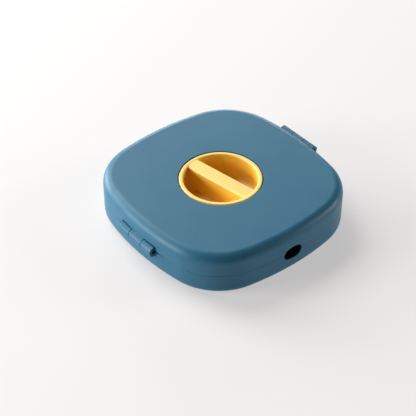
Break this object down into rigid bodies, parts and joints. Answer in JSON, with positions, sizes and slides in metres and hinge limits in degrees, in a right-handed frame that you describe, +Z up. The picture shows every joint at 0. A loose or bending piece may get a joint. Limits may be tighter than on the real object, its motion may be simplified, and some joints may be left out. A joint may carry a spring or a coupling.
{
  "type": "cable winder case",
  "caption": "Flat hinged plastic case with rounded square outline, a turning winder with finger bowl and grip bar set into the lid, and an oval cable port in each side.",
  "frame": {"origin": "middle of the case's footprint, on the surface it stands on", "axes": "+Z up through the lid, +Y towards the hinge, X across the two cable ports"},
  "size_m": [0.07, 0.072, 0.015],
  "materials": {
    "shell_plastic": "satin moulded",
    "winder_plastic": "satin moulded",
    "steel": "bright drawn"
  },
  "bodies": {
    "base": {"base_shell": "shell_plastic", "hinge_pin": "steel"},
    "lid": {"lid_shell": "shell_plastic", "latch_pin": "steel"},
    "winder": {"winder_cup": "winder_plastic", "winder_spool": "winder_plastic", "spool_screw_1": "steel", "spool_screw_2": "steel"},
    "latch": {"latch_lever": "shell_plastic"}
  },
  "joints": [
    {"name": "lid_hinge", "type": "hinge", "parent": "base", "child": "lid", "pos_m": [0, 0.0342, 0.0076], "axis": [-1, 0, 0], "range_deg": [0, 160]},
    {"name": "winder_turn", "type": "hinge", "parent": "lid", "child": "winder", "pos_m": [0, 0.0008, 0.008], "axis": [0, 0, 1], "continuous": true},
    {"name": "latch_swing", "type": "hinge", "parent": "lid", "child": "latch", "pos_m": [0.0016, -0.0346, 0.0124], "axis": [-1, 0, 0], "range_deg": [0, 100]}
  ]
}
